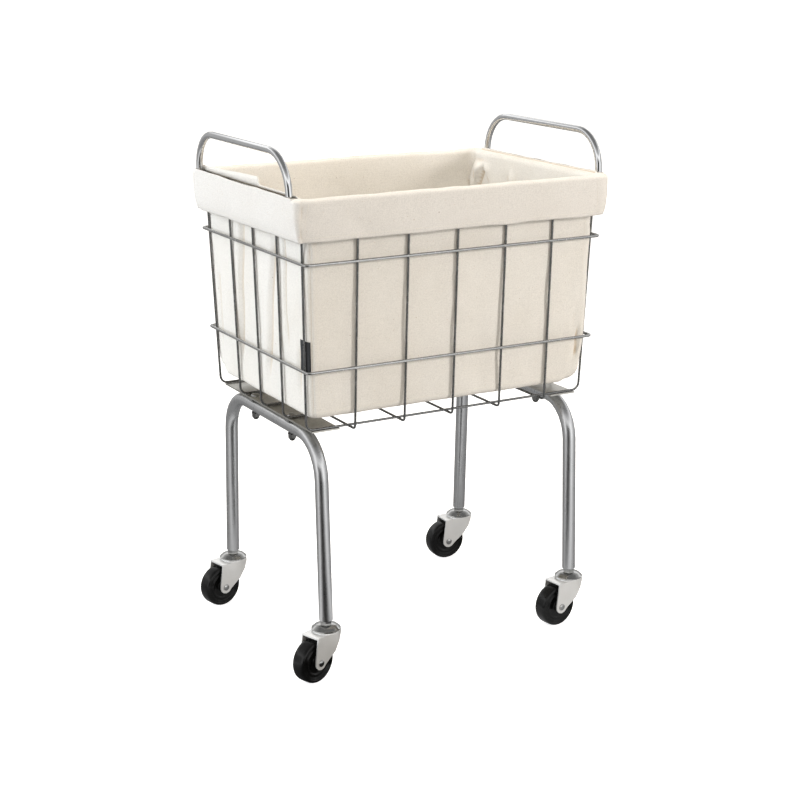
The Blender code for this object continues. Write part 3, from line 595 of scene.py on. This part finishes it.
def near_corner(x_side, y_side):
    """1 at one corner of the liner, falling to 0 where its reach ends along the sides."""
    away = np.hypot(*((CENTRES - (x_side, y_side)) * RIM_HALF).T)
    return smooth(1 - away / CORNER_REACH)[:, None]


FRONT_LEFT, FRONT_RIGHT, BACK_LEFT = near_corner(-1, -1), near_corner(1, -1), near_corner(-1, 1)


def at_corners(front_left, front_right, back_left):
    """One number per column: these amounts at three corners and 0 away from them."""
    return front_left * FRONT_LEFT + front_right * FRONT_RIGHT + back_left * BACK_LEFT


def ring(half, corner):
    """Points (columns, 2) of a rounded rectangle; half and corner are (x, y) or one per column."""
    half, corner = np.broadcast_to(half, (COLUMNS, 2)), np.broadcast_to(corner, (COLUMNS, 2))
    return CENTRES * (half - corner) + NORMALS * corner


def sag(points, z):
    """The bag hangs in low down, and between the wires, which hold it where it touches them."""
    low = smooth((SAG_BELOW_Z - z) / SAG_OVER)
    on_long = ON_FRONT | ON_BACK
    width = 1 - np.where(on_long, np.abs(CENTRES[:, 0]), np.abs(CENTRES[:, 1])) ** 4
    slack = 0.5 - 0.5 * np.cos(2 * math.pi * points[:, 0] / WIRE_PITCH)
    hung = low * width * (SAG + SAG_MORE_AT_BACK * ON_BACK)
    return hung + np.where(on_long, WIRE_SLACK * slack * width, 0)


def across_fold(sideways, z, place, slope, spread):
    """How many spreads each column is from the middle of a fold, which wanders as it falls."""
    wander = 0.0022 * np.sin(z * 21) + 0.0012 * np.sin(z * 47 + 1)
    return (sideways - place - slope * (FOLD_Z - z) - wander) / spread


def fade(z, top, foot, fades):
    """How much of a fold is left at height z."""
    return smooth((top - z) / fades[0]) * smooth((z - foot) / fades[1])


def creases(points, z):
    """The folds down the short ends, each with a ridge beside it, and down the long sides."""
    hung = np.zeros(COLUMNS)
    for side, place, slope, depth, spread, top, foot in FOLDS_OF_ENDS:
        across = across_fold(points[:, 1], z, place, slope, spread)
        fold = hump(across, 0, 1) - RIDGE_BESIDE_FOLD * hump(across, RIDGE_AT, 1)
        fold = fold * depth * fade(z, top, foot, END_FOLD_FADES)
        hung += np.where(ON_LEFT if side < 0 else ON_RIGHT, fold, 0)
    for side, place, slope, depth, spread, top, foot in FOLDS_OF_SIDES:
        across = across_fold(points[:, 0], z, place, slope, spread)
        fold = hump(across, 0, 1) * depth * fade(z, top, foot, SIDE_FOLD_FADES)
        hung += np.where(ON_FRONT if side < 0 else ON_BACK, fold, 0)
    return hung


def corner_shapes(z):
    """A seam sunk into the front left corner, two fuller corners and gathers under the cuff."""
    turned = np.degrees(np.arctan2(-NORMALS[:, 1], -NORMALS[:, 0]))
    on_corner = (FRONT_LEFT[:, 0] > 0.99) & (turned > 0.1) & (turned < 89.9)
    hung = np.where(on_corner, GROOVE_DEPTH * hump(turned, GROOVE_TURN, GROOVE_SPREAD), 0)
    full = BACK_LEFT[:, 0] + FRONT_RIGHT[:, 0] * hump(z, FULLER_Z, FULLER_SPREAD)
    hung -= FULLER * full * smooth((FULLER_BELOW_Z - z) / 0.04)
    uneven = 1 + 0.5 * np.sin(z * 190 + 5 * NORMALS[:, 0])
    return hung + CORNERNESS * hump(z, GATHER_Z, GATHER_SPREAD) * GATHER_DEPTH * uneven


def loose_pleat(points, z):
    """A pleat in the right end beside the back corner, open below like an upturned V."""
    along = float(half_at(z)[1]) - WALL_INSET - points[:, 1]
    below = PLEAT_TOP_Z - z
    shown = smooth(below / 0.024) * smooth((PLEAT_LENGTH - below) / 0.06)
    bulge = hump(along, PLEAT_FROM_CORNER, PLEAT_SPREAD)
    half_open = POCKET_SLOPE * max(below - 0.006, 0)
    pocket = smooth((half_open - np.abs(along - POCKET_FROM_CORNER)) / POCKET_EDGE)
    edge = hump(along, 0.005 + 0.20 * below, CORNER_CREASE_SPREAD)
    inwards = PLEAT_DEPTH * bulge * (1 - pocket) + CORNER_CREASE_DEPTH * edge
    return np.where(ON_RIGHT, shown * inwards, 0)


def hangs_in(points, z):
    """How far the bag's wall hangs in from the wires, for the columns of one row."""
    x, y = points[:, 0], points[:, 1]
    hung = sag(points, z) + creases(points, z) + corner_shapes(z) + loose_pleat(points, z)
    soft = ripple(x * 11, y * 11 + z * 9, 5) + 0.5 * ripple(x * 26, y * 26 + z * 20, 8)
    hung += SOFT_DENTS * soft * smooth((0.868 - z) / 0.03)
    # Below the rim the bag presses outwards against the wires
    hung -= PRESS_OUT * smooth((PRESS_OUT_BELOW_Z - z) / 0.04)
    return np.maximum(hung, -MOST_OUT)


def liner_rows():
    """Rows of points from the bag's floor, up its wall, over the rim and down the cuff.

    Also the first row of the fold's outer half: the slots are cut between it and the row before.
    """
    rows = []
    bend_at_corner = FLOOR_BEND_AT_CORNER + at_corners(*BEND_MORE)
    bend = FLOOR_BEND + (bend_at_corner - FLOOR_BEND) * CORNERNESS[:, None]
    wall_corner = BAG_CORNER + at_corners(*BAG_CORNER_MORE)
    foot_corner = BAG_CORNER_AT_FLOOR + at_corners(*BAG_CORNER_MORE_AT_FLOOR)

    def bag_row(z, tuck, hung_z):
        """z and tuck are one number per column; hung_z is the height whose folds the row has."""
        share = np.clip((z - BAG_FLOOR_Z) / 0.08, 0, 1)[:, None]
        corner = foot_corner + (wall_corner - foot_corner) * share - 0.5 * tuck
        corner = corner - 0.0055 * FRONT_RIGHT * hump(z, FULLER_Z, 0.07)[:, None]
        points = ring(half_at(z) - WALL_INSET - tuck, corner)
        points = points - NORMALS * hangs_in(points, hung_z)[:, None]
        rows.append(np.column_stack([points, z]))

    edge = ring(half_at(BAG_FLOOR_Z) - WALL_INSET - bend, foot_corner - 0.5 * bend)
    edge = edge - NORMALS * hangs_in(edge, BAG_FLOOR_Z)[:, None]
    for share in FLOOR_SHARES:
        flat = edge * share
        z = BAG_FLOOR_Z + 0.0012 * ripple(flat[:, 0] * 14, flat[:, 1] * 14, 3) * (1 - share**6)
        rows.append(np.column_stack([flat, z]))
    for step in range(BEND_STEPS):
        angle = math.radians(90) * step / (BEND_STEPS - 1)
        z = BAG_FLOOR_Z + bend[:, 0] * (1 - math.cos(angle))
        bag_row(z, bend * (1 - math.sin(angle)), BAG_FLOOR_Z)
    start = BAG_FLOOR_Z + bend[:, 0]
    for step in range(1, WALL_STEPS + 1):
        share = step / WALL_STEPS
        height = BAG_FLOOR_Z + (WALL_TOP_Z - BAG_FLOOR_Z) * share
        bag_row(start + (WALL_TOP_Z - start) * share, np.zeros((COLUMNS, 1)), height)
    inner = rows[-1][:, :2]
    outer = cuff_ring(CUFF_TOP_Z)
    raised = slot_edge(inner[:, 1], NORMALS[:, 0])
    on_left = NORMALS[:, 0] < 0
    middle = (SLOT_LEAN[-1][1] + raised) / 2
    for step in range(1, RIM_STEPS + 1):
        angle = math.radians(90) * step / (RIM_STEPS + 0.5)
        up = over_the_rim(inner, outer, 0.5 - 0.5 * math.cos(angle), WALL_TOP_Z, angle)
        lean, z = (*SLOT_LEAN, (EDGE_LEAN[0], middle), (EDGE_LEAN[1], raised))[step - 1]
        wall = np.column_stack([inner + NORMALS * lean, np.broadcast_to(z, (COLUMNS,))])
        rows.append(np.where(IN_SLOT[:, None], wall, up))
    cut = len(rows)
    waves = ripple(inner[:, 1] * 16, inner[:, 1] * 0 + NORMALS[:, 0], 21)
    cuff_edge = np.where(on_left, SLOT_EDGE_Z, SLOT_EDGE_Z - RIGHT_SLOT_DROP)
    cuff_edge = cuff_edge + np.where(on_left, 0.0016, 0.0009) * waves
    for step in range(RIM_STEPS, 0, -1):
        angle = math.radians(90) * step / (RIM_STEPS + 0.5)
        up = over_the_rim(inner, outer, 0.5 + 0.5 * math.cos(angle), CUFF_TOP_Z, angle)
        z = CUFF_TOP_Z + (cuff_edge - CUFF_TOP_Z) * step / RIM_STEPS
        rows.append(np.where(IN_SLOT[:, None], np.column_stack([outer, z]), up))
    for step in range(CUFF_STEPS + 1):
        foot = CUFF_FOOT_Z + 0.0009 * ripple(inner[:, 0] * 18, inner[:, 1] * 18, 31)
        z = CUFF_TOP_Z + (foot - CUFF_TOP_Z) * step / CUFF_STEPS
        rows.append(np.column_stack([cuff_ring(z), z]))
    return rows, cut


def over_the_rim(inner, outer, across, start_z, angle):
    """A row of the fold over the rim, this share of the way across it."""
    height = math.sin(angle) ** 0.75
    arch = inner + (outer - inner) * across
    z = start_z + (CREST_Z - start_z) * height
    uneven = 0.0008 * ripple(arch[:, 0] * 20, arch[:, 1] * 20, 11) * height
    return np.column_stack([arch, z + uneven])


def cuff_ring(z):
    """Where the cuff hangs at height z: it draws in towards its foot."""
    z = np.broadcast_to(z, (COLUMNS,))
    down = (CUFF_TOP_Z - z) / (CUFF_TOP_Z - CUFF_FOOT_Z)
    half = CUFF_HALF + (CUFF_HALF_AT_FOOT - CUFF_HALF) * (np.clip(down, 0, 1) ** 5)[:, None]
    corner = CUFF_CORNER + at_corners(*CUFF_CORNER_MORE)
    corner = corner - (0.003 + 0.007 * FRONT_LEFT) * down[:, None]
    points = ring(half, corner)
    x, y = points[:, 0], points[:, 1]
    front = NORMALS[:, 1] < -0.9
    drawn = DRAWN_IN * down + CORNERNESS * DRAWN_IN_AT_CORNERS * smooth(down)
    drawn = drawn + CUFF_RIPPLE * smooth(down) * ripple(x * 13, y * 13 + z * 16, 41)
    slanted = hump(x + DENT_SLANT * (z - DENT_Z), DENT_X, DENT_SPREAD)
    dent = DENT_DEPTH * slanted * smooth(down * 1.4)
    from_end = x + CUFF_HALF[0]
    near_end = (LEAN_BACK_WITHIN - from_end) / (LEAN_BACK_WITHIN - LEAN_BACK_FULL)
    drawn = drawn + np.where(front, dent + LEAN_BACK * smooth(near_end), 0)
    # The creased corner between the left end and the front
    painted_shade_mask = CORNERNESS * (x < 0) * (y < 0)
    drawn = drawn + painted_shade_mask * CUFF_CREASE * np.sin((z - 0.80) * 150 + 3 * NORMALS[:, 0])
    return points - NORMALS * drawn[:, None]


def slot_edge(y, side):
    """Height of the bag's own edge along a slot: on the left it stands up, then steps down."""
    rise = FLAP_LOW_Z + FLAP_RISE * smooth((FLAP_BACK_Y - y) / FLAP_LENGTH)
    past_notch = smooth((NOTCH_Y - y) / NOTCH_LENGTH)
    left = rise + (PAST_NOTCH_Z - rise) * past_notch
    left = left + NOTCH_POINT * hump(y, NOTCH_POINT_Y, NOTCH_POINT_SPREAD)
    right = RIGHT_EDGE_Z - RIGHT_EDGE_WAVE * np.cos(y * 9)
    return np.where(side < 0, left, right)


def liner_mesh():
    rows, cut = liner_rows()
    centre = np.array([[0, 0, BAG_FLOOR_Z]])
    points = np.concatenate([centre, *rows]) + np.array(CENTRE)
    faces = [(0, 1 + (j + 1) % COLUMNS, 1 + j) for j in range(COLUMNS)]
    for i in range(len(rows) - 1):
        for j in range(COLUMNS):
            k = (j + 1) % COLUMNS
            if i == cut - 1 and (IN_SLOT[j] or IN_SLOT[k]):
                continue
            a, b = 1 + i * COLUMNS, 1 + (i + 1) * COLUMNS
            faces.append((a + j, a + k, b + k, b + j))
    mesh = bpy.data.meshes.new("canvas_bag")
    mesh.from_pydata(points.tolist(), [], faces)
    for polygon in mesh.polygons:
        polygon.material_index = int(min(polygon.vertices) > cut * COLUMNS)
    mesh.update()
    return mesh, rows


def thicken(obj, thickness):
    """Gives a sheet its thickness, half of it on each side."""
    solid = obj.modifiers.new("thickness", "SOLIDIFY")
    solid.thickness = thickness
    solid.offset = 0


def applied(obj):
    """Applies the object's modifiers to its mesh and shades it smooth."""
    graph = bpy.context.evaluated_depsgraph_get()
    mesh = bpy.data.meshes.new_from_object(obj.evaluated_get(graph))
    obj.modifiers.clear()
    obj.data = mesh
    mesh.shade_smooth()


bag_mesh, ROWS = liner_mesh()
bag = link(
    "canvas_bag",
    bag_mesh,
    canvas_finish("cotton_canvas", (0.825, 0.790, 0.730), (0.860, 0.832, 0.783)),
    # Painted shade: the cuff gets this darker, greyer copy of the canvas colour, standing in for
    # the shade on its face
    canvas_finish("canvas_reverse", (0.785, 0.752, 0.706), (0.818, 0.790, 0.752)),
)
thicken(bag, CANVAS)
applied(bag)
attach(bag, "liner")
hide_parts("canvas_liner")

# ---------------------------------------------------------------- stitching and tag

GRID = np.array(ROWS)
WALL = GRID[len(FLOOR_SHARES) : len(FLOOR_SHARES) + BEND_STEPS + WALL_STEPS]
CUFF = GRID[: -CUFF_STEPS - 2 : -1]
OUTWARD = np.column_stack([NORMALS, np.zeros(COLUMNS)])


def level_line(rows, z):
    """The points, one per column, where these rows, lowest first, reach height z."""
    line = [
        [np.interp(z, rows[:, j, 2], rows[:, j, axis]) for axis in (0, 1)] + [z]
        for j in range(COLUMNS)
    ]
    return np.array(line)


def column_line(rows, column, low, high, step=0.002):
    """The points up one column between two heights."""
    z = np.arange(low, high, step)
    points = [np.interp(z, rows[:, column, 2], rows[:, column, axis]) for axis in (0, 1)]
    return np.column_stack([*points, z]), np.repeat(OUTWARD[column : column + 1], len(z), axis=0)


def closed_line(line):
    return np.concatenate([line, line[:1]]), np.concatenate([OUTWARD, OUTWARD[:1]])


def stitches(lines):
    """One mesh of thread stitches along lines of (points, outward directions)."""
    places, alongs, outs = [], [], []
    for points, outward in lines:
        run = np.concatenate([[0], np.cumsum(np.linalg.norm(np.diff(points, axis=0), axis=1))])
        at = np.arange(STITCH_PITCH / 2, run[-1], STITCH_PITCH)
        ends = [
            np.column_stack([np.interp(at + d, run, points[:, axis]) for axis in range(3)])
            for d in (-STITCH_LENGTH / 2, STITCH_LENGTH / 2)
        ]
        out = np.column_stack([np.interp(at, run, outward[:, axis]) for axis in range(3)])
        places.append((ends[0] + ends[1]) / 2)
        alongs.append(ends[1] - ends[0])
        outs.append(out)
    place, along, out = (np.concatenate(x) for x in (places, alongs, outs))
    unit = along / np.linalg.norm(along, axis=1)[:, None]
    out = out - unit * (out * unit).sum(axis=1)[:, None]
    out = out / np.linalg.norm(out, axis=1)[:, None]
    side = np.cross(unit, out)
    surface = place + out * (CANVAS / 2 + STITCH_LIFT)
    turns = STITCH_SIDES
    sections = []
    for share, width, rise in STITCH_OUTLINE:
        for k in range(turns):
            angle = 2 * math.pi * k / turns
            offset = out * (STITCH_RADIUS * (rise + width * math.cos(angle)))
            offset = offset + side * (STITCH_RADIUS * width * math.sin(angle))
            sections.append(surface + unit * (STITCH_LENGTH * share) + offset)
    points = np.stack(sections, axis=1).reshape(-1, 3) + np.array(CENTRE)
    last = (len(STITCH_OUTLINE) - 1) * turns
    faces = [tuple(range(turns))[::-1], tuple(range(last, last + turns))]
    for i in range(len(STITCH_OUTLINE) - 1):
        for k in range(turns):
            a, b = i * turns + k, i * turns + (k + 1) % turns
            faces.append((a, b, b + turns, a + turns))
    each = len(STITCH_OUTLINE) * turns
    every = [tuple(n * each + k for k in face) for n in range(len(place)) for face in faces]
    mesh = bpy.data.meshes.new("stitching")
    mesh.from_pydata(points.tolist(), [], every)
    mesh.update()
    mesh.shade_smooth()
    return mesh


def seam_columns():
    """The column beside each of the bag's four upright corners, on its long sides."""
    beside = np.abs(np.abs(CENTRES[:, 0]) - (1 - SEAM_FROM_CORNER / RIM_HALF[0]))
    long_side = ON_FRONT | ON_BACK
    found = []
    for x_side in (-1, 1):
        for y_side in (-1, 1):
            here = long_side & (CENTRES[:, 0] * x_side > 0) & (NORMALS[:, 1] * y_side > 0)
            found.append(int(np.argmin(np.where(here, beside, 9))))
    return found


seam_lines = [closed_line(level_line(WALL, BOTTOM_SEAM_Z))]
seam_lines.append(closed_line(level_line(CUFF, HEM_SEAM_Z)))
for column in seam_columns():
    seam_lines.append(column_line(WALL, column, *CORNER_SEAM_Z))
    seam_lines.append(column_line(CUFF, column, HEM_SEAM_Z + 0.002, CUFF_TOP_Z))
stitching = link("liner_stitching", stitches(seam_lines), thread_finish())
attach(stitching, "liner")


def tag_mesh(across=29, up=25):
    """A woven tag folded round the bag's front left corner, its lower edge standing off a little.

    The grid's columns start at that corner, so the tag uses as many columns before it as after.
    """
    rolled = 60
    points = []
    for z in np.linspace(TAG_LOW_Z, TAG_HIGH_Z, up):
        line = np.roll(level_line(WALL, z), rolled, axis=0)[: 2 * rolled, :2]
        out = np.roll(NORMALS, rolled, axis=0)[: 2 * rolled]
        run = np.concatenate([[0], np.cumsum(np.linalg.norm(np.diff(line, axis=0), axis=1))])
        at_corner = np.flatnonzero(out[:, 1] < -0.70)[0]
        at = run[at_corner] + np.linspace(-TAG_BEFORE_CORNER, TAG_PAST_CORNER, across)
        out = np.column_stack([np.interp(at, run, out[:, axis]) for axis in (0, 1)])
        out = out / np.linalg.norm(out, axis=1)[:, None]
        place = np.column_stack([np.interp(at, run, line[:, axis]) for axis in (0, 1)])
        share = (z - TAG_LOW_Z) / (TAG_HIGH_Z - TAG_LOW_Z)
        loose = TAG_LOOSE * (1 - share) ** 2 * np.linspace(1, 0, across) ** 0.5
        off = CANVAS / 2 + TAG_THICK / 2 + TAG_GAP + loose
        place = place + out * off[:, None]
        points += [(a, b, z) for a, b in place]
    faces = []
    for j in range(up - 1):
        for i in range(across - 1):
            a = j * across + i
            faces.append((a, a + 1, a + across + 1, a + across))
    mesh = bpy.data.meshes.new("corner_tag")
    mesh.from_pydata((np.array(points) + np.array(CENTRE)).tolist(), [], faces)
    mesh.update()
    return mesh


tag = link("corner_tag", tag_mesh(), tag_finish())
thicken(tag, TAG_THICK)
edge = tag.modifiers.new("edge", "BEVEL")
edge.width = 0.0002
edge.segments = 2
applied(tag)
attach(tag, "liner")
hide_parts("woven_tag")

# ---------------------------------------------------------------- stage, lights and camera


def studio_switch(tree, dim, mirrored, bright):
    """A shader that lights as dim, mirrors as mirrored, and is bright where seen directly."""
    path = node(tree, "ShaderNodeLightPath")
    inputs = [(0, path.outputs["Is Glossy Ray"]), (1, dim), (2, mirrored)]
    unseen = node(tree, "ShaderNodeMixShader", inputs).outputs[0]
    inputs = [(0, path.outputs["Is Camera Ray"]), (1, unseen), (2, bright)]
    return node(tree, "ShaderNodeMixShader", inputs).outputs[0]


def panels_round_studio(tree, direction):
    """How bright the studio's walls are in reflections, by compass direction in degrees."""
    parts = node(tree, "ShaderNodeSeparateXYZ", [(0, direction)]).outputs
    angle = calculated(tree, "ARCTAN2", parts[1], parts[0])
    turn = calculated(tree, "MULTIPLY_ADD", angle, 1 / (2 * math.pi), 0.5)
    stops = [((degrees + 180) / 360, brightness) for degrees, brightness in STUDIO_PANELS]
    return ramp(tree, turn, *stops)


def stage_finish():
    """A white floor: nearly free of shadow to the eye, a ring of panels in reflections."""
    material, tree, _, place = new_finish("studio_floor")
    soft = noise(tree, place, 0.6, 2.0)
    pale = ramp(tree, soft, (0.3, 0.90), (0.7, 0.92))
    lit = node(tree, "ShaderNodeBsdfDiffuse", [("Color", pale)]).outputs[0]
    glow = node(tree, "ShaderNodeEmission", [("Strength", STAGE_GLOW)]).outputs[0]
    bright = node(tree, "ShaderNodeAddShader", [(0, lit), (1, glow)]).outputs[0]
    dim = node(tree, "ShaderNodeBsdfDiffuse", [("Color", (STAGE_BOUNCE,) * 3 + (1,))]).outputs[0]
    away = node(tree, "ShaderNodeVectorMath", [(0, place)], operation="LENGTH").outputs["Value"]
    share = ramp(tree, calculated(tree, "DIVIDE", away, 8.0), (0.15, 0.58), (0.7, 1.0))
    panels = mixed(tree, 1.0, panels_round_studio(tree, place), share, "MULTIPLY")
    mirrored = node(tree, "ShaderNodeEmission", [("Color", panels)]).outputs[0]
    output = tree.nodes["Material Output"]
    tree.links.new(studio_switch(tree, dim, mirrored, bright), output.inputs["Surface"])
    return material


floor_mesh = bpy.data.meshes.new("studio_floor")
floor_corners = [(-70, -70, 0), (70, -70, 0), (70, 90, 0), (-70, 90, 0)]
floor_mesh.from_pydata(floor_corners, [], [(0, 1, 2, 3)])
link("studio_floor", floor_mesh, stage_finish())


def area_light(name, place, target, size, power, colour):
    data = bpy.data.lights.new(name, "AREA")
    data.shape = "RECTANGLE"
    data.size, data.size_y = size
    data.energy = power
    data.color = colour
    light = bpy.data.objects.new(name, data)
    bpy.context.scene.collection.objects.link(light)
    light.location = place
    light.visible_glossy = False
    light.rotation_euler = (Vector(target) - Vector(place)).to_track_quat("-Z", "Y").to_euler()


for light in LIGHTS:
    area_light(*light)

world = bpy.data.worlds.new("studio")
world.use_nodes = True
bpy.context.scene.world = world
tree = world.node_tree
direction = node(tree, "ShaderNodeTexCoord").outputs["Generated"]
height = node(tree, "ShaderNodeSeparateXYZ", [(0, direction)]).outputs[2]
level = calculated(tree, "MULTIPLY_ADD", height, 0.5, 0.5)
sky = ramp(
    tree,
    level,
    (0.50, (0.36, 0.335, 0.295)),
    (0.56, (0.165, 0.153, 0.135)),
    (0.70, (0.43, 0.40, 0.355)),
    (1.0, (0.77, 0.72, 0.64)),
)
dim = tree.nodes["Background"]
tree.links.new(sky, dim.inputs["Color"])
ceiling = ramp(tree, height, (0.25, 0.62), (0.42, 1.50), (0.60, 0.62), (0.85, 0.22))
walls = panels_round_studio(tree, direction)
mirrored_sky = mixed(tree, ramp(tree, height, (0.22, 0.0), (0.46, 1.0)), walls, ceiling)
mirrored = node(tree, "ShaderNodeBackground", [("Color", mirrored_sky)])
bright = node(tree, "ShaderNodeBackground", [("Strength", 1.0), ("Color", (1, 1, 1, 1))])
tree.links.new(
    studio_switch(tree, dim.outputs[0], mirrored.outputs[0], bright.outputs[0]),
    tree.nodes["World Output"].inputs["Surface"],
)
bpy.context.scene.view_settings.view_transform = "Standard"

camera_data = bpy.data.cameras.new("camera")
camera_data.sensor_width = 36
camera_data.lens = CAMERA_LENS
camera_data.clip_end = 300
camera = bpy.data.objects.new("camera", camera_data)
bpy.context.scene.collection.objects.link(camera)
camera.location = CAMERA_PLACE
camera.rotation_euler = (CAMERA_TARGET - CAMERA_PLACE).to_track_quat("-Z", "Y").to_euler()
bpy.context.scene.camera = camera
